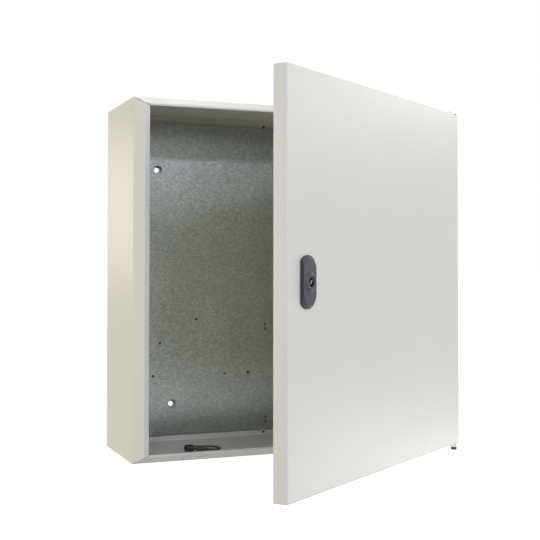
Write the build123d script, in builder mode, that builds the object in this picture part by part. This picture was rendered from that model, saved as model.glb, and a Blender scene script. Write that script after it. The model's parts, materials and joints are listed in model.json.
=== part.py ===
from build123d import *
import math
import os

# Wall-mounted sheet-steel meter cabinet with a hinged door, a quarter-turn lock and a mounting plate.
# Millimetres. +Z is up and the door faces -Y. The origin is midway between the two upper wall holes,
# on the back face that lies against the wall.

# Cabinet
cabinet_width = 600.0
cabinet_height = 600.0
body_depth = 195.0
body_sheet = 1.5
bend_radius = 2.5

# Rim round the opening: slopes inward and forward, then a flat land, then a return
rim_forward = 12.0
side_slope = 16.5
side_land = 8.5
top_slope = 10.6
top_land = 3.6
rim_return = 8.0
return_bend_radius = 1.8
rim_seam = 1.2
corner_relief = 1.0

# Wall holes
wall_hole_diameter = 9.0
upper_hole_drop = 102.0
upper_hole_spacing = 420.0
lower_hole_rise = 70.0
lower_hole_spacing = 364.0
centre_hole_diameter = 3.2
centre_hole_drop = 12.0
centre_hole_rise = 7.5
plug_head_diameter = 4.6
plug_head_height = 0.6
plug_play = 0.05

# Mounting plate
plate_sheet = 2.0
plate_standoff = 7.5
plate_side_margin = 22.0
plate_end_margin = 15.5
plate_corner_radius = 3.0
access_hole_diameter = 16.0
fixing_hole_diameter = 4.4
meter_row_rise = 122.0
meter_row_offsets = (34.5, 80.5, 217.5)
meter_side_rise = 181.5
meter_side_offset = 205.0
meter_inner_rise = 224.0
meter_inner_offset = 136.0
centre_pair_rises = (32.0, 208.0)
centre_pair_pitch = 8.4

# M6 fixings of the plate
plate_stud_diameter = 6.0
plate_stud_inset = 22.0
stud_weld_diameter = 9.0
stud_weld_height = 1.0
stud_hole_play = 1.0
spacer_diameter = 14.0
plate_washer_diameter = 14.0
plate_washer_thickness = 1.6
plate_nut_flats = 10.0
plate_nut_height = 5.0
stud_end = 2.5

# M8 earth studs
earth_diameter = 8.0
earth_length = 22.0
earth_washer_diameter = 17.0
earth_washer_thickness = 1.6
earth_washer_stand = 3.0
earth_nut_flats = 13.0
earth_nut_height = 6.5
earth_rise = 60.0
earth_from_front = 60.0
door_earth_inset = 78.0

# Door
door_depth = 22.5
door_gap = 2.5
door_sheet = 1.5
door_edge_radius = 2.5
door_corner_radius = 2.0
open_angle = 36.6
hinge_return = 9.5
hinge_notch = 11.0

# Hinges
pin_inset = 8.5
pin_depth = 7.0
pin_diameter = 6.0
pin_head_diameter = 12.5
pin_head_height = 4.5
pin_head_round = 0.8
pin_head_gap = 0.15
pin_washer_diameter = 13.8
pin_washer_thickness = 1.2
pin_collar_height = 7.0
pin_cap_diameter = 10.6
pin_cap_height = 5.0
pin_cap_wall = 3.0
running_clearance = 0.05
bush_wall = 1.0
bush_flange_diameter = 10.0
lug_drop = 4.0
lug_thickness = 4.0
lug_width = 9.0
lug_reach = 18.0
lug_direction = 138.0
hinge_end_play = 0.2
pin_tail = 3.5
clip_diameter = 10.0
clip_thickness = 0.8
clip_groove_depth = 0.6
clip_opening = 3.6
clip_play = 0.1
swing_clearance = 0.5

# Door seal
seal_width = 8.0
seal_clearance = 0.3
seal_round = 3.0
seal_joint = 0.2

# Quarter-turn lock
lock_inset = 50.4
escutcheon_width = 34.0
escutcheon_height = 75.0
escutcheon_straight = 60.0
escutcheon_thickness = 6.0
escutcheon_bevel_run = 5.5
escutcheon_bevel_drop = 3.0
lock_seal_thickness = 0.6
lock_seal_inset = 1.0
boss_diameter = 30.0
boss_top_diameter = 22.0
boss_height = 2.2
barrel_diameter = 17.0
barrel_set_back = 0.4
barrel_play = 0.15
recess_diameter = 13.0
recess_depth = 5.9
barrel_tail = 20.0
barrel_bore = 9.9
stem_diameter = 9.8
collar_diameter = 12.6
collar_height = 1.0
collar_play = 0.1
bit_core_diameter = 4.6
bit_span = 9.0
bit_thickness = 2.4
bit_height = 4.4
bit_angle = 45.0
lock_nut_flats = 24.0
lock_nut_height = 6.0
cam_gap = 1.0
cam_thickness = 2.5
cam_hub_diameter = 20.0
cam_width = 14.0
cam_reach = 36.4
cam_square = 7.0
cam_play = 0.1
cam_washer_diameter = 15.0
cam_washer_thickness = 1.2
cam_screw_diameter = 5.0
cam_screw_flats = 8.0
cam_screw_head = 3.5
cam_screw_depth = 12.0

# Double-bit key, lying on the floor of the cabinet
key_barrel_diameter = 12.4
key_barrel_length = 14.0
key_barrel_bevel = 0.7
key_socket_depth = 8.0
key_socket_play = 0.25
key_neck_length = 4.0
key_neck_width = 9.0
key_bow_width = 24.0
key_bow_tip = 9.5
key_bow_corner = 4.0
key_bow_thickness = 2.6
key_bow_edge = 0.5
key_loop_length = 22.0
key_loop_width = 14.0
key_loop_inset = 6.0
key_length = 67.0
key_from_left = 108.5
key_from_front = 64.0
key_turn = 7.0
key_roll = 9.0
key_floor_gap = 0.2

# Levels and faces that follow from the sizes above
top = upper_hole_drop
bottom = top - cabinet_height
middle = (top + bottom) / 2
left = -cabinet_width / 2
right = cabinet_width / 2
back = 0.0
back_inside = back - body_sheet
front = -body_depth
half_width = cabinet_width / 2
half_height = cabinet_height / 2
side_inset = side_slope + side_land
top_inset = top_slope + top_land
rim_front = front - rim_forward
door_back = front - door_gap
door_front = door_back - door_depth
plate_back = back_inside - plate_standoff
plate_front = plate_back - plate_sheet
mitre_back = front + bend_radius + corner_relief


def front_view(y):
    """Plane facing the viewer at depth y, centred on the cabinet: x right, y up."""
    return Plane(origin=(0, y, middle), x_dir=(1, 0, 0), z_dir=(0, -1, 0))


upper_line = top - upper_hole_drop - middle
lower_line = bottom + lower_hole_rise - middle
centre_holes = [(0, half_height - centre_hole_drop), (0, centre_hole_rise - half_height)]

# Body shell: both sides, the back and the two upright rim flanges folded from one sheet.
# The path runs along the outer face, from the left flange's return round to the right one's.
left_rim = [
    (left + side_inset, rim_front + rim_return),
    (left + side_inset, rim_front),
    (left + side_slope, rim_front),
    (left, front),
    (left, back),
]
right_rim = [(-x, y) for x, y in reversed(left_rim)]
shell_bends = [return_bend_radius] + 6 * [bend_radius] + [return_bend_radius]
panel_bends = [return_bend_radius, bend_radius, bend_radius]

# The mitre runs from the outer corner down the slope, then across the land to the inner corner.
mitre_run = 3.0
mitre_line = [
    (-half_width - mitre_run, half_height + mitre_run * top_slope / side_slope),
    (-half_width + side_slope, half_height - top_slope),
    (-half_width + side_inset, half_height - top_inset),
]
mitre_depth = rim_forward + bend_radius + mitre_back - front

with BuildPart() as body_shell:
    with BuildSketch(Plane.XY.offset(bottom)):
        with BuildLine():
            FilletPolyline(*left_rim, *right_rim, radius=shell_bends)
            offset(amount=body_sheet, side=Side.RIGHT)
        make_face()
    extrude(amount=cabinet_height)
    with BuildSketch(front_view(mitre_back)):
        with BuildLine():
            Polyline(
                *mitre_line,
                (mitre_line[2][0] + 1, mitre_line[2][1]),
                (mitre_line[2][0] + 1, mitre_line[0][1]),
                close=True,
            )
        make_face()
        mirror(about=Plane.YZ)
        mirror(about=Plane.XZ)
    extrude(amount=mitre_depth, mode=Mode.SUBTRACT)
    with BuildSketch(front_view(back)):
        with Locations((0, upper_line)):
            with GridLocations(upper_hole_spacing, 1, 2, 1):
                Circle(wall_hole_diameter / 2)
        with Locations((0, lower_line)):
            with GridLocations(lower_hole_spacing, 1, 2, 1):
                Circle(wall_hole_diameter / 2)
        with Locations(*centre_holes):
            Circle(centre_hole_diameter / 2)
    extrude(amount=body_sheet, mode=Mode.SUBTRACT)

# Top and bottom panels: each folded with its own rim flange, cut to the mitre at both ends and
# fitted between the sides and against the back.
for up in (1, -1):
    edge = middle + up * half_height
    panel_line = [
        (rim_front + rim_return, edge - up * top_inset),
        (rim_front, edge - up * top_inset),
        (rim_front, edge - up * top_slope),
        (front, edge),
        (back_inside, edge),
    ]
    with BuildPart() as end_panel:
        with BuildSketch(Plane.YZ.offset(left)):
            with BuildLine():
                FilletPolyline(*panel_line, radius=panel_bends)
                offset(amount=body_sheet, side=Side.RIGHT if up > 0 else Side.LEFT)
            make_face()
        extrude(amount=cabinet_width)
        with BuildSketch(front_view(mitre_back)):
            with BuildLine():
                Polyline(
                    *[(x, y + rim_seam) for x, y in mitre_line],
                    (mitre_line[2][0], mitre_line[2][1] - top_inset),
                    (mitre_line[0][0], mitre_line[2][1] - top_inset),
                    close=True,
                )
            make_face()
            mirror(about=Plane.YZ)
            mirror(about=Plane.XZ)
        extrude(amount=mitre_depth, mode=Mode.SUBTRACT)
        with BuildSketch(Plane.XY.offset(bottom)):
            with Locations((0, (back + mitre_back) / 2)):
                with GridLocations(cabinet_width - body_sheet, 1, 2, 1):
                    Rectangle(body_sheet, back - mitre_back)
        extrude(amount=cabinet_height, mode=Mode.SUBTRACT)
        back_corners = end_panel.edges().filter_by(Axis.Z).group_by(Axis.Y)[-1]
        chamfer(back_corners, bend_radius - body_sheet + corner_relief)
    if up > 0:
        top_panel = end_panel
    else:
        bottom_panel = end_panel

# Plugs that close the two centre holes in the back, from inside
with BuildPart() as centre_plugs:
    with BuildSketch(front_view(back_inside)):
        with Locations(*centre_holes):
            Circle(plug_head_diameter / 2)
    extrude(amount=plug_head_height)
    with BuildSketch(front_view(back_inside)):
        with Locations(*centre_holes):
            Circle(centre_hole_diameter / 2 - plug_play)
    extrude(amount=-body_sheet)

# Mounting plate with access holes in line with the wall holes
plate_width = cabinet_width - 2 * plate_side_margin
plate_height = cabinet_height - 2 * plate_end_margin
stud_spacing_x = plate_width - 2 * plate_stud_inset
stud_spacing_z = plate_height - 2 * plate_stud_inset
stud_hole_diameter = plate_stud_diameter + stud_hole_play

with BuildPart() as mounting_plate:
    with BuildSketch(front_view(plate_back)):
        RectangleRounded(plate_width, plate_height, plate_corner_radius)
        with GridLocations(stud_spacing_x, stud_spacing_z, 2, 2):
            Circle(stud_hole_diameter / 2, mode=Mode.SUBTRACT)
        with Locations((0, upper_line)):
            with GridLocations(upper_hole_spacing, 1, 2, 1):
                Circle(access_hole_diameter / 2, mode=Mode.SUBTRACT)
        with Locations((0, lower_line)):
            with GridLocations(lower_hole_spacing, 1, 2, 1):
                Circle(access_hole_diameter / 2, mode=Mode.SUBTRACT)
        fixing_holes = [(x, meter_row_rise) for x in meter_row_offsets]
        fixing_holes += [(meter_side_offset, meter_side_rise), (meter_inner_offset, meter_inner_rise)]
        for x, rise in fixing_holes:
            with Locations((-x, rise - half_height), (x, rise - half_height)):
                Circle(fixing_hole_diameter / 2, mode=Mode.SUBTRACT)
        for rise in centre_pair_rises:
            with Locations((0, rise - half_height)):
                with GridLocations(1, centre_pair_pitch, 1, 2):
                    Circle(fixing_hole_diameter / 2, mode=Mode.SUBTRACT)
    extrude(amount=plate_sheet)

# Studs welded to the back wall, with the spacers, washers and nuts that hold the plate
washer_front = plate_front - plate_washer_thickness
nut_front = washer_front - plate_nut_height
stud_front = nut_front - stud_end

with BuildPart() as plate_studs:
    with BuildSketch(front_view(back_inside)):
        with GridLocations(stud_spacing_x, stud_spacing_z, 2, 2):
            Circle(stud_weld_diameter / 2)
    extrude(amount=stud_weld_height)
    with BuildSketch(front_view(back_inside)):
        with GridLocations(stud_spacing_x, stud_spacing_z, 2, 2):
            Circle(plate_stud_diameter / 2)
    extrude(amount=back_inside - stud_front)
    chamfer(plate_studs.faces().sort_by(Axis.Y)[:4].edges(), plate_stud_diameter / 8)

with BuildPart() as plate_spacers:
    with BuildSketch(front_view(back_inside)):
        with GridLocations(stud_spacing_x, stud_spacing_z, 2, 2):
            Circle(spacer_diameter / 2)
            Circle((stud_weld_diameter + stud_hole_play) / 2, mode=Mode.SUBTRACT)
    extrude(amount=plate_standoff)

with BuildPart() as plate_washers:
    with BuildSketch(front_view(plate_front)):
        with GridLocations(stud_spacing_x, stud_spacing_z, 2, 2):
            Circle(plate_washer_diameter / 2)
            Circle((plate_stud_diameter + 2 * running_clearance) / 2, mode=Mode.SUBTRACT)
    extrude(amount=plate_washer_thickness)

with BuildPart() as plate_nuts:
    with BuildSketch(front_view(washer_front)):
        with GridLocations(stud_spacing_x, stud_spacing_z, 2, 2):
            RegularPolygon(plate_nut_flats / 2, 6, major_radius=False)
            Circle((plate_stud_diameter + 2 * running_clearance) / 2, mode=Mode.SUBTRACT)
    extrude(amount=plate_nut_height)


# An earth point: a welded stud with a washer and a nut, standing on the plane that it is given
def earth_point(seat):
    with BuildPart() as stud:
        with BuildSketch(seat):
            Circle((earth_diameter + earth_washer_stand) / 2)
        extrude(amount=stud_weld_height)
        with BuildSketch(seat):
            Circle(earth_diameter / 2)
        extrude(amount=earth_length)
        chamfer(stud.faces().sort_by(Axis(seat.origin, seat.z_dir))[-1].edges(), earth_diameter / 8)
    hole = earth_diameter / 2 + running_clearance
    with BuildPart() as washer:
        with BuildSketch(seat.offset(earth_washer_stand)):
            Circle(earth_washer_diameter / 2)
            Circle(hole, mode=Mode.SUBTRACT)
        extrude(amount=earth_washer_thickness)
    with BuildPart() as nut:
        with BuildSketch(seat.offset(earth_washer_stand + earth_washer_thickness)):
            RegularPolygon(earth_nut_flats / 2, 6, major_radius=False)
            Circle(hole, mode=Mode.SUBTRACT)
        extrude(amount=earth_nut_height)
    return stud, washer, nut


body_earth_seat = Plane(
    origin=(right - body_sheet, front + earth_from_front, bottom + earth_rise),
    x_dir=(0, 1, 0),
    z_dir=(-1, 0, 0),
)
earth_stud, earth_washer, earth_nut = earth_point(body_earth_seat)

# Hinge axis, near the door's right edge. Everything on the door is drawn on a plane that lies on the
# door's outer face where the door now stands, with its origin level with the axis: x runs from the
# hinge to the right, y is up and z points out of the face.
hinge_x = right - pin_inset
hinge_y = door_front + pin_depth
swing = math.radians(open_angle)
outward = (math.sin(swing), -math.cos(swing), 0)
across = (math.cos(swing), math.sin(swing), 0)
door_face = Plane(
    origin=(hinge_x + pin_depth * outward[0], hinge_y + pin_depth * outward[1], middle),
    x_dir=across,
    z_dir=outward,
)
hinge_edge = pin_inset
free_edge = pin_inset - cabinet_width
door_centre = (hinge_edge + free_edge) / 2
latch_x = free_edge + lock_inset


def closed_plan(height):
    """Horizontal plane at a height, with its origin on the hinge axis and not turned."""
    return Plane(origin=(hinge_x, hinge_y, height), x_dir=(1, 0, 0), z_dir=(0, 0, 1))


def door_plan(height):
    """The same plane turned with the door."""
    return Plane(origin=(hinge_x, hinge_y, height), x_dir=across, z_dir=(0, 0, 1))


# Door: a pan with four returns. The hinge side's return is shallower, and it stops short of the
# lugs. The top and bottom returns are rounded about the pin where they swing past the body.
swing_radius = front - hinge_y - body_sheet * rim_forward / top_slope - swing_clearance
pocket_radius = max(door_corner_radius - door_sheet, door_sheet / 3)
with BuildPart() as door_panel:
    with BuildSketch(door_face):
        with Locations((door_centre, 0)):
            RectangleRounded(cabinet_width, cabinet_height, door_corner_radius)
    extrude(amount=-door_depth)
    fillet(door_panel.faces().sort_by(Axis(door_face.origin, door_face.z_dir))[-1].edges(), door_edge_radius)
    with BuildSketch(door_face.offset(-door_sheet)):
        with Locations((door_centre, 0)):
            RectangleRounded(cabinet_width - 2 * door_sheet, cabinet_height - 2 * door_sheet, pocket_radius)
    extrude(amount=-door_depth, mode=Mode.SUBTRACT)
    # Shallow return on the hinge side, between the lugs
    with BuildSketch(door_face.offset(-hinge_return)):
        with Locations((hinge_edge, 0)):
            Rectangle(4 * door_sheet, cabinet_height - 2 * hinge_notch)
    extrude(amount=-door_depth, mode=Mode.SUBTRACT)
    # Notches in that return beside each lug
    with BuildSketch(door_face.offset(-door_edge_radius)):
        with Locations((hinge_edge, 0)):
            with GridLocations(1, cabinet_height - hinge_notch - door_sheet, 1, 2):
                Rectangle(4 * door_sheet, hinge_notch - door_sheet)
    extrude(amount=-door_depth, mode=Mode.SUBTRACT)
    # Rounding about the pin, through both returns
    with BuildSketch(door_plan(bottom)):
        with Locations((swing_radius, 0)):
            Rectangle(2 * swing_radius, 4 * swing_radius)
        Circle(swing_radius, mode=Mode.SUBTRACT)
    extrude(amount=cabinet_height, mode=Mode.SUBTRACT)
    # Holes for the hinge bushes
    with BuildSketch(door_plan(bottom)):
        Circle(pin_diameter / 2 + running_clearance + bush_wall)
    extrude(amount=cabinet_height, mode=Mode.SUBTRACT)
    # Hole for the lock
    with BuildSketch(door_face):
        with Locations((latch_x, 0)):
            Circle(barrel_diameter / 2 + barrel_play)
    extrude(amount=-door_sheet, mode=Mode.SUBTRACT)

# Hinges. Each is drawn for the upper one, counting down from the door's edge, and turned over for
# the lower one.
lug_far = lug_drop + lug_thickness
bore_radius = pin_diameter / 2 + running_clearance
groove_radius = pin_diameter / 2 - clip_groove_depth
clip_start = lug_far + clip_play
rim_wedge = [(0, 0), (-rim_forward, top_slope), (bend_radius, top_slope), (bend_radius, 0)]
hinge_parts = {}
for end, up in (("upper", 1), ("lower", -1)):
    edge = middle + up * half_height

    def level(down):
        return edge - up * down

    # Lug: a tongue from round the pin back to the sloped rim that it is welded to
    with BuildPart() as lug:
        with BuildSketch(closed_plan(level(lug_drop))):
            Circle(lug_width / 2)
            with Locations(Rot(0, 0, lug_direction)):
                with Locations((lug_reach / 2, 0)):
                    Rectangle(lug_reach, lug_width)
                with Locations((lug_reach, 0)):
                    Circle(lug_width / 2)
            Circle(bore_radius, mode=Mode.SUBTRACT)
        extrude(amount=-up * lug_thickness)
        with BuildSketch(Plane.YZ.offset(left)):
            with BuildLine():
                Polyline(*[(front + y, level(down)) for y, down in rim_wedge], close=True)
            make_face()
        extrude(amount=cabinet_width, mode=Mode.SUBTRACT)

    # Pin: runs through the bush and the lug, with a groove for its clip. Its head stands on a washer
    # at the top. At the bottom it is a longer collar, with a spigot for the cap.
    pin_end = lug_far + pin_tail
    with BuildPart() as pin:
        head_start = pin_head_gap + pin_washer_thickness if up > 0 else pin_head_gap
        head_end = head_start + pin_head_height if up > 0 else pin_collar_height
        with BuildSketch(closed_plan(level(-head_start))):
            Circle(pin_head_diameter / 2)
        extrude(amount=up * (head_end - head_start))
        fillet(pin.faces().sort_by(Axis.Z)[-1 if up > 0 else 0].edges(), pin_head_round)
        with BuildSketch(closed_plan(level(-head_end + pin_head_round))):
            Circle(pin_diameter / 2)
        extrude(amount=-up * (head_end - pin_head_round + pin_end))
        if up < 0:
            with BuildSketch(closed_plan(level(-head_end))):
                Circle(pin_diameter / 2)
            extrude(amount=-(pin_cap_height - pin_cap_wall))
        with BuildSketch(closed_plan(level(clip_start))):
            Circle(pin_diameter)
            Circle(groove_radius, mode=Mode.SUBTRACT)
        extrude(amount=-up * (clip_thickness + 2 * clip_play), mode=Mode.SUBTRACT)

    # Clip: an open ring in the pin's groove
    with BuildPart() as clip:
        with BuildSketch(closed_plan(level(clip_start + clip_play))):
            Circle(clip_diameter / 2)
            Circle(groove_radius + clip_play, mode=Mode.SUBTRACT)
            with Locations((clip_diameter / 2, 0)):
                Rectangle(clip_diameter, clip_opening, mode=Mode.SUBTRACT)
        extrude(amount=-up * clip_thickness)

    # Bush: a sleeve through the door's return, with a flange that runs on the lug
    with BuildPart() as bush:
        with BuildSketch(door_plan(level(0))):
            Circle(bore_radius + bush_wall)
        extrude(amount=-up * door_sheet)
        with BuildSketch(door_plan(level(door_sheet))):
            Circle(bush_flange_diameter / 2)
        extrude(amount=-up * (lug_drop - door_sheet - hinge_end_play))
        with BuildSketch(door_plan(level(0))):
            Circle(bore_radius)
        extrude(amount=-up * lug_drop, mode=Mode.SUBTRACT)

    hinge_parts[end] = (lug, pin, clip, bush)

# Washer under the upper pin's head, and a moulded cap on the outer end of the lower pin
with BuildPart() as hinge_washer:
    with BuildSketch(closed_plan(top + pin_head_gap)):
        Circle(pin_washer_diameter / 2)
        Circle(bore_radius, mode=Mode.SUBTRACT)
    extrude(amount=pin_washer_thickness)

with BuildPart() as hinge_pin_cap:
    with BuildSketch(closed_plan(bottom - pin_collar_height)):
        Circle(pin_cap_diameter / 2)
    extrude(amount=-pin_cap_height)
    fillet(hinge_pin_cap.faces().sort_by(Axis.Z)[0].edges(), pin_cap_wall / 2)
    with BuildSketch(closed_plan(bottom - pin_collar_height)):
        Circle(bore_radius)
    extrude(amount=-(pin_cap_height - pin_cap_wall + running_clearance), mode=Mode.SUBTRACT)

# Seal: four strips stuck to the inside of the door, over the flat lands of the rim. The upright
# strips run between the other two.
seal_height = door_gap + door_depth - door_sheet - rim_forward - seal_clearance
seal_x = half_width - side_slope - (side_land - return_bend_radius) / 2
seal_y = half_height - top_slope - top_land / 2
seal_length_x = 2 * seal_x + seal_width
seal_length_y = 2 * seal_y - seal_width - 2 * seal_joint
seal_strips = {}
for strip_name, strip_x, strip_y, strip_width, strip_height in (
    ("seal_strip_top", 0, seal_y, seal_length_x, seal_width),
    ("seal_strip_bottom", 0, -seal_y, seal_length_x, seal_width),
    ("seal_strip_lock_side", -seal_x, 0, seal_width, seal_length_y),
    ("seal_strip_hinge_side", seal_x, 0, seal_width, seal_length_y),
):
    with BuildPart() as seal_strip:
        with BuildSketch(door_face.offset(-door_sheet)):
            with Locations((door_centre + strip_x, strip_y)):
                Rectangle(strip_width, strip_height)
        extrude(amount=-seal_height)
        crown = seal_strip.faces().sort_by(Axis(door_face.origin, door_face.z_dir))[0]
        long_edges = crown.edges().sort_by(SortBy.LENGTH)[-2:]
        fillet(long_edges, min(seal_round, 0.45 * seal_width))
    seal_strips[strip_name] = seal_strip

# Earth point on the inside of the door
door_earth_seat = Plane(
    origin=door_face.offset(-door_sheet).from_local_coords(
        (hinge_edge - door_earth_inset, earth_rise - half_height, 0)
    ),
    x_dir=across,
    z_dir=(-outward[0], -outward[1], 0),
)
door_earth_stud, door_earth_washer, door_earth_nut = earth_point(door_earth_seat)

# Lock. The escutcheon stands on a thin seal on the door's face, and the barrel passes through both
# and through the door, where its nut holds it.
latch_face = Plane(origin=door_face.from_local_coords((latch_x, 0, 0)), x_dir=across, z_dir=outward)
escutcheon_back = lock_seal_thickness
escutcheon_front = escutcheon_back + escutcheon_thickness
boss_front = escutcheon_front + boss_height
barrel_front = boss_front - barrel_set_back
barrel_hole = barrel_diameter / 2 + barrel_play


def escutcheon_outline(inset):
    """Straight-sided plate outline with arched ends, smaller all round by an inset."""
    side = escutcheon_width / 2 - inset
    shoulder = escutcheon_straight / 2
    crown = escutcheon_height / 2 - inset
    with BuildSketch(mode=Mode.PRIVATE) as outline:
        with BuildLine():
            upper_arch = ThreePointArc((-side, shoulder), (0, crown), (side, shoulder))
            lower_arch = ThreePointArc((side, -shoulder), (0, -crown), (-side, -shoulder))
            Line(upper_arch @ 1, lower_arch @ 0)
            Line(lower_arch @ 1, upper_arch @ 0)
        make_face()
    return outline.sketch


with BuildPart() as lock_seal:
    with BuildSketch(latch_face):
        add(escutcheon_outline(lock_seal_inset))
        Circle(barrel_hole, mode=Mode.SUBTRACT)
    extrude(amount=lock_seal_thickness)

# The escutcheon's arched ends slope back to its edge, and its boss is a low cone round the barrel
with BuildPart() as lock_escutcheon:
    with BuildSketch(latch_face.offset(escutcheon_back)):
        add(escutcheon_outline(0))
    extrude(amount=escutcheon_thickness)
    plate_top = lock_escutcheon.faces().sort_by(Axis(latch_face.origin, latch_face.z_dir))[-1]
    arches = plate_top.edges().filter_by(GeomType.CIRCLE)
    chamfer(arches, escutcheon_bevel_run, escutcheon_bevel_drop, reference=plate_top)
    with BuildSketch(latch_face.offset(escutcheon_front)):
        Circle(boss_diameter / 2)
    with BuildSketch(latch_face.offset(boss_front)):
        Circle(boss_top_diameter / 2)
    loft()
    with BuildSketch(latch_face):
        Circle(barrel_hole)
    extrude(amount=boss_front, mode=Mode.SUBTRACT)

recess_floor = barrel_front - recess_depth
with BuildPart() as lock_barrel:
    with BuildSketch(latch_face.offset(barrel_front)):
        Circle(barrel_diameter / 2)
        Circle(recess_diameter / 2, mode=Mode.SUBTRACT)
    extrude(amount=-recess_depth)
    with BuildSketch(latch_face.offset(recess_floor)):
        Circle(barrel_diameter / 2)
        Circle(barrel_bore / 2, mode=Mode.SUBTRACT)
    extrude(amount=-(recess_floor + barrel_tail))

with BuildPart() as lock_nut:
    with BuildSketch(latch_face.offset(-door_sheet)):
        RegularPolygon(lock_nut_flats / 2, 6, major_radius=False)
        Circle(barrel_diameter / 2 + running_clearance, mode=Mode.SUBTRACT)
    extrude(amount=-lock_nut_height)

# The cam turns just behind the rim's return. It hangs down here and points at the free edge when
# locked.
cam_front = rim_front + rim_return + cam_gap - door_front
cam_back = cam_front + cam_thickness
with BuildPart() as lock_rotor:
    with BuildSketch(latch_face.offset(recess_floor + collar_play)):
        Circle(collar_diameter / 2)
    extrude(amount=collar_height)
    with BuildSketch(latch_face.offset(recess_floor + collar_play)):
        Circle(stem_diameter / 2)
    extrude(amount=-(recess_floor + collar_play + cam_front - cam_play))
    with BuildSketch(latch_face.offset(cam_play - cam_front)):
        Rectangle(cam_square, cam_square)
    extrude(amount=-(cam_thickness - cam_play))
    with BuildSketch(latch_face.offset(recess_floor + collar_play + collar_height)):
        Circle(bit_core_diameter / 2)
        with Locations(Rot(0, 0, bit_angle)):
            SlotOverall(bit_span, bit_thickness)
    extrude(amount=bit_height)
    with BuildSketch(latch_face.offset(-cam_back)):
        Circle(cam_screw_diameter / 2 + running_clearance)
    extrude(amount=cam_screw_depth, mode=Mode.SUBTRACT)

with BuildPart() as lock_cam:
    with BuildSketch(latch_face.offset(-cam_front)):
        Circle(cam_hub_diameter / 2)
        with Locations((0, -(cam_reach - cam_width / 2) / 2)):
            Rectangle(cam_width, cam_reach - cam_width / 2)
        with Locations((0, cam_width / 2 - cam_reach)):
            Circle(cam_width / 2)
        Rectangle(cam_square + 2 * cam_play, cam_square + 2 * cam_play, mode=Mode.SUBTRACT)
    extrude(amount=-cam_thickness)

with BuildPart() as cam_washer:
    with BuildSketch(latch_face.offset(-cam_back)):
        Circle(cam_washer_diameter / 2)
        Circle(cam_screw_diameter / 2 + running_clearance, mode=Mode.SUBTRACT)
    extrude(amount=-cam_washer_thickness)

with BuildPart() as cam_screw:
    with BuildSketch(latch_face.offset(-cam_back - cam_washer_thickness)):
        Circle(cam_screw_diameter / 2)
    extrude(amount=cam_washer_thickness + cam_screw_depth - cam_play)
    with BuildSketch(latch_face.offset(-cam_back - cam_washer_thickness)):
        RegularPolygon(cam_screw_flats / 2, 6, major_radius=False)
    extrude(amount=-cam_screw_head)

# Key: a round barrel with a double-bit socket, a short neck and a flat bow with a long loop, which
# narrows to its tip. It lies on the floor on its barrel's rim and one long edge of its bow, so it is
# tilted a little, bow down, and rolled towards the front.
barrel_radius = key_barrel_diameter / 2
key_lean = math.radians(key_roll)
bow_low = key_bow_width / 2 * math.sin(key_lean) + key_bow_thickness / 2 * math.cos(key_lean)
key_tilt = math.atan2(barrel_radius - bow_low, key_length - key_barrel_length - key_bow_width / 2)
key_rise = key_floor_gap + key_barrel_length * math.sin(key_tilt) + barrel_radius * math.cos(key_tilt)
key_heading = math.radians(key_turn)
key_axis = Vector(
    math.cos(key_tilt) * math.cos(key_heading),
    math.cos(key_tilt) * math.sin(key_heading),
    -math.sin(key_tilt),
)
key_level = Vector(-math.sin(key_heading), math.cos(key_heading), 0)
key_side = key_level * math.cos(key_lean) + key_axis.cross(key_level) * math.sin(key_lean)
key_start = (left + key_from_left, front + key_from_front, bottom + body_sheet + key_rise)
key_flat = Plane(origin=key_start, x_dir=key_axis, z_dir=key_axis.cross(key_side))
key_end = Plane(origin=key_start, x_dir=key_side, z_dir=key_axis)
bow_start = key_barrel_length + key_neck_length
bow_corner = (bow_start + key_bow_corner, key_bow_width / 2 - key_bow_corner)
loop_middle = key_length - key_loop_inset - key_loop_length / 2

with BuildPart() as double_bit_key:
    with BuildSketch(key_flat.offset(-key_bow_thickness / 2)):
        with BuildLine():
            CenterArc(bow_corner, key_bow_corner, 0, 360)
            CenterArc((bow_corner[0], -bow_corner[1]), key_bow_corner, 0, 360)
            CenterArc((key_length - key_bow_tip, 0), key_bow_tip, 0, 360)
        make_hull()
        with Locations((loop_middle, 0)):
            SlotOverall(key_loop_length, key_loop_width, mode=Mode.SUBTRACT)
    extrude(amount=key_bow_thickness)
    fillet(double_bit_key.faces().filter_by(key_flat).edges(), key_bow_edge)
    with BuildSketch(key_flat.offset(-key_bow_thickness / 2)):
        with Locations(((key_barrel_length + bow_start) / 2, 0)):
            Rectangle(bow_start - key_barrel_length + 2 * key_bow_corner, key_neck_width)
    extrude(amount=key_bow_thickness)
    with BuildSketch(key_end):
        Circle(barrel_radius)
    extrude(amount=key_barrel_length)
    rims = double_bit_key.edges().filter_by(GeomType.CIRCLE)
    chamfer(rims.filter_by(lambda rim: abs(rim.radius - barrel_radius) < key_socket_play), key_barrel_bevel)
    with BuildSketch(key_end):
        Circle(bit_core_diameter / 2 + key_socket_play)
        SlotOverall(bit_span + 2 * key_socket_play, bit_thickness + 2 * key_socket_play)
    extrude(amount=key_socket_depth, mode=Mode.SUBTRACT)

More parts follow.
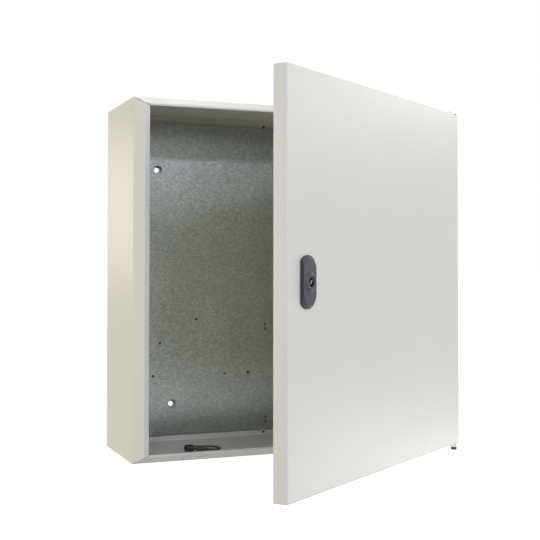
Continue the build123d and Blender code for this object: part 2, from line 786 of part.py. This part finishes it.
# Names of the pieces, and one file for each
hinge_lug_upper, hinge_pin_upper, hinge_clip_upper, hinge_bush_upper = hinge_parts["upper"]
hinge_lug_lower, hinge_pin_lower, hinge_clip_lower, hinge_bush_lower = hinge_parts["lower"]
pieces = {
    "body_shell": body_shell,
    "top_panel": top_panel,
    "bottom_panel": bottom_panel,
    "plate_studs": plate_studs,
    "plate_spacers": plate_spacers,
    "centre_plugs": centre_plugs,
    "mounting_plate": mounting_plate,
    "plate_washers": plate_washers,
    "plate_nuts": plate_nuts,
    "earth_stud": earth_stud,
    "earth_washer": earth_washer,
    "earth_nut": earth_nut,
    "hinge_lug_upper": hinge_lug_upper,
    "hinge_lug_lower": hinge_lug_lower,
    "hinge_pin_upper": hinge_pin_upper,
    "hinge_pin_lower": hinge_pin_lower,
    "hinge_clip_upper": hinge_clip_upper,
    "hinge_clip_lower": hinge_clip_lower,
    "hinge_washer": hinge_washer,
    "hinge_pin_cap": hinge_pin_cap,
    "door_panel": door_panel,
    "hinge_bush_upper": hinge_bush_upper,
    "hinge_bush_lower": hinge_bush_lower,
    **seal_strips,
    "door_earth_stud": door_earth_stud,
    "door_earth_washer": door_earth_washer,
    "door_earth_nut": door_earth_nut,
    "lock_seal": lock_seal,
    "lock_escutcheon": lock_escutcheon,
    "lock_barrel": lock_barrel,
    "lock_nut": lock_nut,
    "lock_rotor": lock_rotor,
    "lock_cam": lock_cam,
    "cam_washer": cam_washer,
    "cam_screw": cam_screw,
    "double_bit_key": double_bit_key,
}
os.makedirs("parts", exist_ok=True)
for name, piece in pieces.items():
    piece.part.label = name
    export_step(piece.part, f"parts/{name}.step")
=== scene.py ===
import json
import math

import bpy
import numpy as np
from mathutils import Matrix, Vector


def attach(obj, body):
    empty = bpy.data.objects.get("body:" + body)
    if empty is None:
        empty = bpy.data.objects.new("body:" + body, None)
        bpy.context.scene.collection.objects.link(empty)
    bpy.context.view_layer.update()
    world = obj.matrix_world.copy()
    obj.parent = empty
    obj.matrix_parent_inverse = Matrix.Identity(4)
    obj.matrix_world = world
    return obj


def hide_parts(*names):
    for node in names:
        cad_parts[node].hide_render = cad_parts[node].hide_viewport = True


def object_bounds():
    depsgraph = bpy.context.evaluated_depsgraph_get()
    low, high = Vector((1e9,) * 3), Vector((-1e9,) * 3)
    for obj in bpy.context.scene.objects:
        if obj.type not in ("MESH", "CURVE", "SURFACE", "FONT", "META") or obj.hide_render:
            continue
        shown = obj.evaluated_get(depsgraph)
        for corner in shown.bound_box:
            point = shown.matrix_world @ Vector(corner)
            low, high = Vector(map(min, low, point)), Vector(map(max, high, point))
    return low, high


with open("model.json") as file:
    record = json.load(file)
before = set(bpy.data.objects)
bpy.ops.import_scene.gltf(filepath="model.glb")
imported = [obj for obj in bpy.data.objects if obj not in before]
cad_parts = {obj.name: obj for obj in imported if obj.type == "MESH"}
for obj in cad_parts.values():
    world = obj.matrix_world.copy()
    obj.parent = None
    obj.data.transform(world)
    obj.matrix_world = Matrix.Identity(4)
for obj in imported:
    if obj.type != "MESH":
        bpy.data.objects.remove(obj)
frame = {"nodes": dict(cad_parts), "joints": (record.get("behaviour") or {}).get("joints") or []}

# Size of the CAD model, in metres. +Z is up, the door faces -Y, and the origin is midway between the
# two upper wall holes, on the back face.
cad_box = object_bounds()
scene = bpy.context.scene


# Cabinet and door sheets: folded steel, degreased and powder coated in one light grey. The coat
# is a textured one that levels out only partly in the oven, so it keeps a fine, soft orange peel.
def put(tree, socket, value):
    """Puts a number, a colour or a link on a socket."""
    if isinstance(value, bpy.types.NodeSocket):
        tree.links.new(value, socket)
    else:
        socket.default_value = value


def add(tree, kind, settings=(), **sockets):
    """A node of that kind with its settings, and numbers, colours or links put on its inputs."""
    node = tree.nodes.new(kind)
    for key, value in dict(settings).items():
        setattr(node, key, value)
    for label, value in sockets.items():
        put(tree, node.inputs[label.replace("_", " ")], value)
    return node


def combine(tree, operation, first, second):
    """Two linked values joined by a Math node."""
    node = add(tree, "ShaderNodeMath", {"operation": operation})
    tree.links.new(first, node.inputs[0])
    tree.links.new(second, node.inputs[1])
    return node.outputs[0]


def noise(tree, place, scale, detail=2.0, roughness=0.5, stretch=(1, 1, 1)):
    """Noise from 0 to 1 at a point that is stretched along x, y and z."""
    scaled = add(tree, "ShaderNodeVectorMath", {"operation": "MULTIPLY"}, Vector=place)
    scaled.inputs[1].default_value = stretch
    settings = {"Vector": scaled.outputs[0], "Scale": scale, "Detail": detail, "Roughness": roughness}
    return add(tree, "ShaderNodeTexNoise", **settings).outputs["Fac"]


def spread(tree, value, low, high, start=0.0, end=1.0):
    """value from start..end spread over low..high."""
    limits = {"From_Min": start, "From_Max": end, "To_Min": low, "To_Max": high}
    return add(tree, "ShaderNodeMapRange", Value=value, **limits).outputs["Result"]


def tint(tree, colour, factor):
    """colour made lighter or darker by a factor about 1."""
    node = add(tree, "ShaderNodeVectorMath", {"operation": "SCALE"}, Vector=colour, Scale=factor)
    return node.outputs[0]


def effect(name, inputs, outputs):
    """A node group for one effect. inputs and outputs are (name, kind of socket, default) rows."""
    group = bpy.data.node_groups.new(name, "ShaderNodeTree")
    for label, kind, default in inputs:
        socket = group.interface.new_socket(label, in_out="INPUT", socket_type="NodeSocket" + kind)
        socket.default_value = default
    for label, kind in outputs:
        group.interface.new_socket(label, in_out="OUTPUT", socket_type="NodeSocket" + kind)
    return group, group.nodes.new("NodeGroupInput"), group.nodes.new("NodeGroupOutput")


def new_material(name):
    """A material with only a Principled shader in it, and the point in Object coordinates."""
    made = bpy.data.materials.new(name)
    made.use_nodes = True
    tree = made.node_tree
    shader = tree.nodes["Principled BSDF"]
    place = tree.nodes.new("ShaderNodeTexCoord").outputs["Object"]
    return made, tree, shader, place


def effect_material(name, group, **values):
    """A material that takes its colour, roughness and normal from an effect with these values."""
    made, tree, shader, place = new_material(name)
    placed = add(tree, "ShaderNodeGroup", {"node_tree": group}, Point=place, **values)
    for output in placed.outputs:
        tree.links.new(output, shader.inputs["Base Color" if output.name == "Color" else output.name])
    return made, shader


def finish_nodes(material, *names):
    """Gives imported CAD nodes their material."""
    for name in names:
        for material_slot in frame["nodes"][name].material_slots:
            material_slot.material = material


coat_group, coat_in, coat_out = effect(
    "Powder coat",
    [
        ("Point", "Vector", (0, 0, 0)),
        ("Colour", "Color", (0.7, 0.7, 0.7, 1)),
        ("Peel", "Float", 0.12),
    ],
    [("Color", "Color"), ("Roughness", "Float"), ("Normal", "Vector")],
)
coat_point = coat_in.outputs["Point"]
peel = noise(coat_group, coat_point, 420.0, 2.5, 0.55)
grain = noise(coat_group, coat_point, 1300.0, 1.5, 0.6)
cloud = noise(coat_group, coat_point, 9.0, 3.0)
coat_shade = combine(
    coat_group,
    "MULTIPLY",
    spread(coat_group, grain, 0.965, 1.035),
    spread(coat_group, cloud, 0.985, 1.015),
)
coat_colour = tint(coat_group, coat_in.outputs["Colour"], coat_shade)
relief = add(
    coat_group, "ShaderNodeBump", Distance=0.0004, Height=peel, Strength=coat_in.outputs["Peel"]
)
coat_group.links.new(coat_colour, coat_out.inputs["Color"])
coat_group.links.new(spread(coat_group, peel, 0.29, 0.39, 0.3, 0.7), coat_out.inputs["Roughness"])
coat_group.links.new(relief.outputs["Normal"], coat_out.inputs["Normal"])

cabinet_paint, shader = effect_material(
    "cabinet_powder_coat", coat_group, Colour=(0.70, 0.695, 0.665, 1), Peel=0.16
)
shader.inputs["Specular IOR Level"].default_value = 0.45
finish_nodes(
    cabinet_paint,
    "body_shell", "top_panel", "bottom_panel", "door_panel", "hinge_lug_upper", "hinge_lug_lower",
)

# Mounting plate: one galvanised steel sheet, left bare, so its zinc shows a fine rolled grain with
# small spangles. It stands on four spacers and carries the meter on screws in its small holes.
zinc_plate, tree, shader, place = new_material("galvanised_sheet")
rolled = noise(tree, place, 160.0, 4.0, 0.62, stretch=(1, 1, 2.6))
spangle = add(tree, "ShaderNodeTexVoronoi", {"feature": "F1"}, Vector=place, Scale=260.0)
spangle_parts = add(tree, "ShaderNodeSeparateColor", Color=spangle.outputs["Color"])
broad = noise(tree, place, 7.0, 3.0)
sheet_shade = combine(
    tree,
    "MULTIPLY",
    spread(tree, rolled, 0.74, 1.26, 0.25, 0.75),
    spread(tree, broad, 0.93, 1.07, 0.3, 0.7),
)
sheet_shade = combine(tree, "MULTIPLY", sheet_shade, spread(tree, spangle_parts.outputs["Red"], 0.9, 1.1))
tree.links.new(tint(tree, (0.4, 0.43, 0.45), sheet_shade), shader.inputs["Base Color"])
tree.links.new(spread(tree, rolled, 0.28, 0.35, 0.3, 0.7), shader.inputs["Roughness"])
relief = add(tree, "ShaderNodeBump", Distance=0.0002, Strength=0.16, Height=rolled)
tree.links.new(relief.outputs["Normal"], shader.inputs["Normal"])
shader.inputs["Metallic"].default_value = 1.0
finish_nodes(zinc_plate, "mounting_plate")

# Plated fasteners: spacers, washers, the lock's nut and the cam's screw and washer, turned or
# stamped from steel and zinc plated, with faint patches from the plating bath.
plating_group, plating_in, plating_out = effect(
    "Plated metal",
    [
        ("Point", "Vector", (0, 0, 0)),
        ("Colour", "Color", (0.6, 0.6, 0.6, 1)),
        ("Patch size", "Float", 120.0),
        ("Polish", "Float", 0.3),
    ],
    [("Color", "Color"), ("Roughness", "Float")],
)
patches = noise(plating_group, plating_in.outputs["Point"], plating_in.outputs["Patch size"], 4.0)
patch_shade = spread(plating_group, patches, 0.82, 1.12, 0.3, 0.7)
patch_wear = spread(plating_group, patches, -0.06, 0.1, 0.3, 0.7)
plating_group.links.new(
    tint(plating_group, plating_in.outputs["Colour"], patch_shade), plating_out.inputs["Color"]
)
plating_group.links.new(
    combine(plating_group, "ADD", plating_in.outputs["Polish"], patch_wear),
    plating_out.inputs["Roughness"],
)


def plated(name, colour, patch_size, polish):
    """A metal finish from the plated metal effect."""
    made, shader = effect_material(
        name, plating_group, Colour=colour, Patch_size=patch_size, Polish=polish
    )
    shader.inputs["Metallic"].default_value = 1.0
    return made


zinc_fastener = plated("zinc_plated_steel", (0.62, 0.63, 0.64, 1), 180.0, 0.3)
finish_nodes(
    zinc_fastener,
    "plate_spacers", "plate_washers", "earth_washer", "door_earth_washer", "cam_washer", "cam_screw",
    "lock_nut",
)


# Studs and nuts: four M6 studs hold the plate and two M8 ones are the earth points. Their threads
# are rolled, and each is welded to its sheet at a short collar. The nuts are cut from hexagon bar,
# chamfered at both faces and at the bore, and all are zinc plated.
def surface(name, rings, wrapped, seats, axis, across, material, smooth):
    """A closed mesh from rings of points about an axis, with one copy standing at each seat.

    rings is (ring, column, 3), in a frame whose z is the axis and whose x is across. wrapped joins
    the last ring to the first, as round a nut. Otherwise a point closes each end, as on a stud.
    """
    ring_count, columns = rings.shape[:2]
    points = rings.reshape(-1, 3)
    index = np.arange(ring_count * columns).reshape(ring_count, columns)
    upper = np.roll(index, -1, axis=0) if wrapped else index[1:]
    lower = index if wrapped else index[:-1]
    after_upper = np.roll(upper, -1, axis=1)
    after_lower = np.roll(lower, -1, axis=1)
    quads = np.stack([lower, after_lower, after_upper, upper], axis=-1).reshape(-1, 4)
    triangles = np.zeros((0, 3), int)
    if not wrapped:
        first, last = len(points), len(points) + 1
        points = np.vstack([points, rings[0].mean(axis=0), rings[-1].mean(axis=0)])
        foot_cap = np.stack([np.roll(index[0], -1), index[0], np.full(columns, first)], axis=-1)
        end_cap = np.stack([index[-1], np.roll(index[-1], -1), np.full(columns, last)], axis=-1)
        triangles = np.vstack([foot_cap, end_cap])
    axis = np.array(axis, float)
    across = np.array(across, float)
    turned = points @ np.stack([across, np.cross(axis, across), axis])
    seats = np.array(seats, float)
    placed = (turned[None] + seats[:, None]).reshape(-1, 3)
    shift = np.arange(len(seats))[:, None, None] * len(points)
    all_quads = (quads[None] + shift).reshape(-1, 4)
    all_triangles = (triangles[None] + shift).reshape(-1, 3)
    mesh = bpy.data.meshes.new(name)
    mesh.from_pydata(placed.tolist(), [], all_quads.tolist() + all_triangles.tolist())
    mesh.polygons.foreach_set("use_smooth", np.full(len(mesh.polygons), smooth))
    mesh.update()
    mesh.materials.append(material)
    piece = bpy.data.objects.new(name, mesh)
    scene.collection.objects.link(piece)
    return piece


def threaded_stud(radius, pitch, length, weld_radius, weld_height):
    """Rings of a welded stud: r = R - depth * V(z / pitch - angle / turn), with a chamfered end.

    V is 0 at the crests and 1 at the roots, with a short flat at each.
    """
    columns = 40
    rings_per_pitch = 8
    thread_depth = 0.61 * pitch
    angle = np.linspace(0, 2 * np.pi, columns, endpoint=False)
    heights = np.arange(weld_height, length, pitch / rings_per_pitch)
    heights = np.concatenate([[0, weld_height, weld_height], heights[1:], [length]])
    z, turn = np.meshgrid(heights, angle, indexing="ij")
    phase = (z / pitch - turn / (2 * np.pi)) % 1.0
    groove = np.clip(1.25 * (1 - np.abs(2 * phase - 1)) - 0.125, 0, 1)
    r = radius - thread_depth * groove
    chamfer = radius - (radius / 4 - (length - z))
    r = np.minimum(r, np.maximum(chamfer, 0.6 * radius))
    r[:2] = weld_radius
    return np.stack([r * np.cos(turn), r * np.sin(turn), z], axis=-1)


def hexagon_nut(flats, height, hole):
    """Rings of a nut: a hexagon r = f / (2 cos(angle mod 60 - 30)), cut by a cone of 30 degrees at
    each face, then back down the bore with a lead-in at both its ends.
    """
    columns = 72
    angle = np.linspace(0, 2 * np.pi, columns, endpoint=False)
    hexagon = flats / 2 / np.cos(angle % (np.pi / 3) - np.pi / 6)
    inward = np.array([0, 0.015, 0.03, 0.045, 0.062]) * flats
    depths = np.concatenate([inward, height - inward[::-1]])
    from_face = np.minimum(depths, height - depths)
    cone = 0.475 * flats + from_face * math.sqrt(3)
    outer = np.minimum(hexagon[None], cone[:, None])
    lead = 0.04 * flats
    bore = np.array([hole + lead, hole, hole, hole + lead])
    bore_depths = np.array([height, height - lead, lead, 0])
    r = np.vstack([outer, np.repeat(bore[:, None], columns, axis=1)])
    z = np.concatenate([depths, bore_depths])[:, None].repeat(columns, axis=1)
    return np.stack([r * np.cos(angle), r * np.sin(angle), z], axis=-1)


m6_stud = threaded_stud(radius=0.003, pitch=0.001, length=0.0186, weld_radius=0.0045, weld_height=0.001)
m6_nut = hexagon_nut(flats=0.010, height=0.005, hole=0.00305)
m8_stud = threaded_stud(radius=0.004, pitch=0.00125, length=0.022, weld_radius=0.0055, weld_height=0.001)
m8_nut = hexagon_nut(flats=0.013, height=0.0065, hole=0.00405)

sheet_thickness = 0.0015
plate_stud_x = 0.256
plate_stud_levels = (-0.4605, 0.0645)
plate_nut_seat = 0.0126
plate_studs = [
    (x, -sheet_thickness, z) for x in (-plate_stud_x, plate_stud_x) for z in plate_stud_levels
]
plate_nuts = [(x, -plate_nut_seat, z) for x, _, z in plate_studs]
to_front, along_plate = (0, -1, 0), (1, 0, 0)

earth_nut_seat = 0.0046
side_inward, along_side = np.array([-1.0, 0, 0]), (0, 1, 0)
side_earth = np.array([0.3 - sheet_thickness, -0.135, -0.438])
side_earth_nut = side_earth + earth_nut_seat * side_inward

# The door's face and directions at rest come from the hinge that it hangs on.
hinge = next(joint for joint in frame["joints"] if joint["name"] == "door_hinge")
hinge_axis = np.array(hinge["pos_m"])
door_turn = math.radians(-hinge["range_deg"][0])
door_out = np.array([math.sin(door_turn), -math.cos(door_turn), 0])
door_across = np.array([math.cos(door_turn), math.sin(door_turn), 0])
pin_depth = 0.007
pin_inset = 0.0085
door_face = hinge_axis + pin_depth * door_out

door_earth_inset = 0.078
door_earth_drop = np.array([0, 0, 0.24])
door_inside = hinge_axis + (pin_depth - sheet_thickness) * door_out
door_earth = door_inside + (pin_inset - door_earth_inset) * door_across - door_earth_drop
door_earth_nut = door_earth - earth_nut_seat * door_out

for node, body, rings, seats, axis, across in (
    ("plate_studs", "cabinet", m6_stud, plate_studs, to_front, along_plate),
    ("plate_nuts", "cabinet", m6_nut, plate_nuts, to_front, along_plate),
    ("earth_stud", "cabinet", m8_stud, [side_earth], side_inward, along_side),
    ("earth_nut", "cabinet", m8_nut, [side_earth_nut], side_inward, along_side),
    ("door_earth_stud", "door", m8_stud, [door_earth], -door_out, door_across),
    ("door_earth_nut", "door", m8_nut, [door_earth_nut], -door_out, door_across),
):
    is_nut = "nut" in node
    name = node + ("_chamfered" if is_nut else "_threaded")
    fastener = surface(name, rings, is_nut, seats, axis, across, zinc_fastener, not is_nut)
    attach(fastener, body)
    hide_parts(node)

# Hinges: nickel-plated steel pins with spring clips, in nylon bushes in the door. The upper pin's
# head stands on a dark washer, and the lower pin ends in a moulded cap under the door. Two small
# plugs of the same moulding close the centre holes in the back.
hinge_steel = plated("hinge_steel", (0.56, 0.56, 0.55, 1), 240.0, 0.3)
finish_nodes(hinge_steel, "hinge_pin_upper", "hinge_pin_lower", "hinge_clip_upper", "hinge_clip_lower")

moulding_group, moulding_in, moulding_out = effect(
    "Moulded grain",
    [
        ("Point", "Vector", (0, 0, 0)),
        ("Colour", "Color", (0.1, 0.1, 0.1, 1)),
        ("Grain size", "Float", 1500.0),
        ("Depth", "Float", 0.2),
        ("Dullness", "Float", 0.5),
    ],
    [("Color", "Color"), ("Roughness", "Float"), ("Normal", "Vector")],
)
moulding_point = moulding_in.outputs["Point"]
sparks = noise(moulding_group, moulding_point, moulding_in.outputs["Grain size"])
flow = noise(moulding_group, moulding_point, 40.0)
flow_shade = spread(moulding_group, flow, 0.9, 1.1, 0.3, 0.7)
spark_wear = spread(moulding_group, sparks, -0.05, 0.05, 0.3, 0.7)
pits = add(
    moulding_group, "ShaderNodeBump", Distance=0.0002, Height=sparks, Strength=moulding_in.outputs["Depth"]
)
moulding_group.links.new(
    tint(moulding_group, moulding_in.outputs["Colour"], flow_shade), moulding_out.inputs["Color"]
)
moulding_group.links.new(
    combine(moulding_group, "ADD", moulding_in.outputs["Dullness"], spark_wear),
    moulding_out.inputs["Roughness"],
)
moulding_group.links.new(pits.outputs["Normal"], moulding_out.inputs["Normal"])


def moulded(name, colour, grain_size, depth, dullness, specular=0.5):
    """A plastic, rubber or coated finish from the moulded grain effect."""
    values = {"Colour": colour, "Grain_size": grain_size, "Depth": depth, "Dullness": dullness}
    made, shader = effect_material(name, moulding_group, **values)
    shader.inputs["Specular IOR Level"].default_value = specular
    return made


dark_moulding = moulded("dark_moulding", (0.045, 0.045, 0.05, 1), 1800.0, 0.2, 0.5)
finish_nodes(dark_moulding, "hinge_pin_cap", "hinge_washer", "centre_plugs")
bush_nylon = moulded("bush_nylon", (0.72, 0.71, 0.66, 1), 1500.0, 0.1, 0.4)
finish_nodes(bush_nylon, "hinge_bush_upper", "hinge_bush_lower")

# Seals: four strips of black cellular rubber stuck to the inside of the door, which press on the
# rim when it is shut, and a thin sheet of the same rubber under the lock's escutcheon.
seal_rubber = moulded("seal_rubber", (0.03, 0.03, 0.03, 1), 900.0, 0.5, 0.75, 0.3)
finish_nodes(
    seal_rubber,
    "seal_strip_top", "seal_strip_bottom", "seal_strip_lock_side", "seal_strip_hinge_side", "lock_seal",
)

# Lock: a grey moulded escutcheon round a black barrel, with a zinc-plated cam behind the door.
escutcheon_grey = moulded("escutcheon_grey", (0.042, 0.043, 0.05, 1), 1400.0, 0.18, 0.5, 0.35)
barrel_black = moulded("barrel_black", (0.012, 0.012, 0.014, 1), 1400.0, 0.15, 0.38)
finish_nodes(escutcheon_grey, "lock_escutcheon")
finish_nodes(barrel_black, "lock_barrel")
finish_nodes(plated("lock_zinc", (0.5, 0.5, 0.5, 1), 300.0, 0.28), "lock_cam")


# Lock rotor: a zinc casting with a black coat, turned in the barrel by the key. The front of its
# double-bit bar is bare bright metal in scratches, rubbed by the key, and placed there as a painted glint.
def mixed(tree, factor, first, second):
    """A colour that goes from first to second as factor goes from 0 to 1."""
    node = add(tree, "ShaderNodeMix", {"data_type": "RGBA"}, Factor=factor)
    first_colour, second_colour = node.inputs[6], node.inputs[7]
    put(tree, first_colour, first)
    put(tree, second_colour, second)
    return node.outputs[2]


rotor_finish, tree, shader, place = new_material("rotor_black_zinc")
outward = add(tree, "ShaderNodeVectorMath", {"operation": "DOT_PRODUCT"}, Vector=place)
outward.inputs[1].default_value = door_out
bar_stand = 0.008
bar_front = float(door_face @ door_out) + bar_stand
at_front = spread(tree, outward.outputs["Value"], 0, 1, bar_front - 0.0006, bar_front - 0.0001)
scratches = noise(tree, place, 1400.0)
# Painted glint: bare bright metal in scratches on the front of the bar, which is also wear from the key.
wear_and_painted_glint = combine(tree, "MULTIPLY", at_front, spread(tree, scratches, 0.05, 0.9, 0.46, 0.6))
rotor_colour = mixed(tree, wear_and_painted_glint, (0.015, 0.015, 0.017, 1), (0.42, 0.42, 0.43, 1))
tree.links.new(rotor_colour, shader.inputs["Base Color"])
tree.links.new(wear_and_painted_glint, shader.inputs["Metallic"])
tree.links.new(spread(tree, scratches, 0.3, 0.42, 0.3, 0.7), shader.inputs["Roughness"])
finish_nodes(rotor_finish, "lock_rotor")

# Double-bit key: one zinc casting, barrel, neck and bow, with a glossy black coat. It was left on
# the cabinet's floor.
key_black = moulded("key_black", (0.016, 0.02, 0.024, 1), 900.0, 0.3, 0.14, 0.9)
finish_nodes(key_black, "double_bit_key")

# Floor: a plain pale studio floor, well below the cabinet, which hangs as it does on its wall. It
# keeps the cabinet's shadow, and what the camera and reflections see of it fades to white away
# from there.
floor_drop = 0.9
floor_reach = 120.0
floor_level = cad_box[0][2] - floor_drop
floor_sides = np.array([(-1, -1), (1, -1), (1, 1), (-1, 1)], float) * floor_reach
floor_corners = np.column_stack([floor_sides, np.full(4, floor_level)])
floor_mesh = bpy.data.meshes.new("studio_floor")
floor_mesh.from_pydata(floor_corners.tolist(), [], [(0, 1, 2, 3)])
floor = bpy.data.objects.new("studio_floor", floor_mesh)
scene.collection.objects.link(floor)


def seen(tree):
    """1 for rays from the camera and for reflected and transmitted ones, and 0 for diffuse ones."""
    rays = add(tree, "ShaderNodeLightPath").outputs
    reflected = combine(tree, "MAXIMUM", rays["Is Camera Ray"], rays["Is Glossy Ray"])
    return combine(tree, "MAXIMUM", reflected, rays["Is Transmission Ray"])


floor_finish, tree, shader, place = new_material("studio_floor")
scuffs = spread(tree, noise(tree, place, 6.0, 3.0), 0.99, 1.01)
away = add(tree, "ShaderNodeVectorMath", {"operation": "LENGTH"}, Vector=place)
fade = spread(tree, away.outputs["Value"], 0.4, 1.0, 1.9, 2.9)
tree.links.new(tint(tree, (0.62, 0.61, 0.64), scuffs), shader.inputs["Base Color"])
tree.links.new(combine(tree, "MULTIPLY", seen(tree), fade), shader.inputs["Emission Strength"])
shader.inputs["Emission Color"].default_value = (1, 1, 1, 1)
shader.inputs["Roughness"].default_value = 0.9
floor_mesh.materials.append(floor_finish)

# World: white where it is seen, and for the soft light a dim grey dome, a little darker above.
world = bpy.data.worlds.new("studio")
scene.world = world
world.use_nodes = True
tree = world.node_tree
heading = add(
    tree, "ShaderNodeSeparateXYZ", Vector=tree.nodes.new("ShaderNodeTexCoord").outputs["Generated"]
)
height = spread(tree, heading.outputs["Z"], 0, 1, -0.5, 1.0)
dome = mixed(tree, height, (0.06, 0.06, 0.05, 1), (0.05, 0.05, 0.045, 1))
white = mixed(tree, seen(tree), dome, (1, 1, 1, 1))
tree.links.new(white, tree.nodes["Background"].inputs["Color"])


# Lamps: a long narrow strip in front and above, which draws the crisp shadow of the top rim on the
# mounting plate, a soft box at the right for the door, two at the left, a board behind that warms the
# left side, one overhead, and two panels at the right whose glow shows at the door's top and foot.
def lamp(name, at, target, width, height, power, colour):
    """A rectangular lamp at a point, facing a target."""
    data = bpy.data.lights.new(name, "AREA")
    data.shape = "RECTANGLE"
    data.size = width
    data.size_y = height
    data.energy = power
    data.color = colour
    made = bpy.data.objects.new(name, data)
    scene.collection.objects.link(made)
    made.location = at
    made.visible_camera = False
    aim = np.array(target, float) - np.array(at, float)
    made.rotation_euler = (
        math.atan2(math.hypot(aim[0], aim[1]), -aim[2]),
        0,
        math.atan2(aim[1], aim[0]) - math.pi / 2,
    )


lamp("front_strip", (-0.8, -3.5, 1.26), (-0.5, 0, -0.1), 2.4, 0.17, 60, (0.84, 0.88, 1.0))
lamp("right_box", (3.2, -3.2, 0.7), (0, -0.3, -0.2), 1.8, 1.8, 76, (1.0, 0.985, 0.94))
lamp("left_box", (-3.1, -1.3, 0.0), (-0.3, -0.1, -0.2), 1.4, 1.6, 21.5, (1.0, 0.97, 0.94))
lamp("left_back_box", (-3.1, 0.4, -0.25), (0, -0.3, -0.2), 1.4, 1.6, 18, (1.0, 0.9, 0.15))
lamp("warm_board", (-1.5, 2.8, 0.1), (-0.3, -0.1, -0.2), 1.2, 0.62, 4.6, (1.0, 0.94, 0.85))
lamp("top_box", (0.0, 0.1, 2.6), (0, -0.1, 0), 1.6, 1.6, 34, (0.98, 1.0, 0.92))
lamp("upper_glow", (2.76, 0.48, 0.75), (0.29, -0.2, 0.1), 1.0, 0.5, 8.8, (1.0, 1.0, 0.97))
lamp("lower_glow", (2.76, 0.48, -1.15), (0.29, -0.2, -0.5), 1.0, 0.5, 7.5, (0.97, 0.97, 1.0))

# Camera: in front, to the left and a little below the middle, looking slightly up, as in the
# photograph. The shift brings the cabinet to its place in the frame.
camera = bpy.data.cameras.new("camera")
camera.lens = 71.21
camera.sensor_width = 36.0
camera.shift_x = -0.0615
camera.shift_y = -0.0617
view = bpy.data.objects.new("camera", camera)
scene.collection.objects.link(view)
view.location = (-0.71746, -1.91268, -0.17518)
view.rotation_euler = (math.radians(90 + 1.552), 0, math.radians(-22.71))
scene.camera = view
scene.view_settings.view_transform = "Standard"
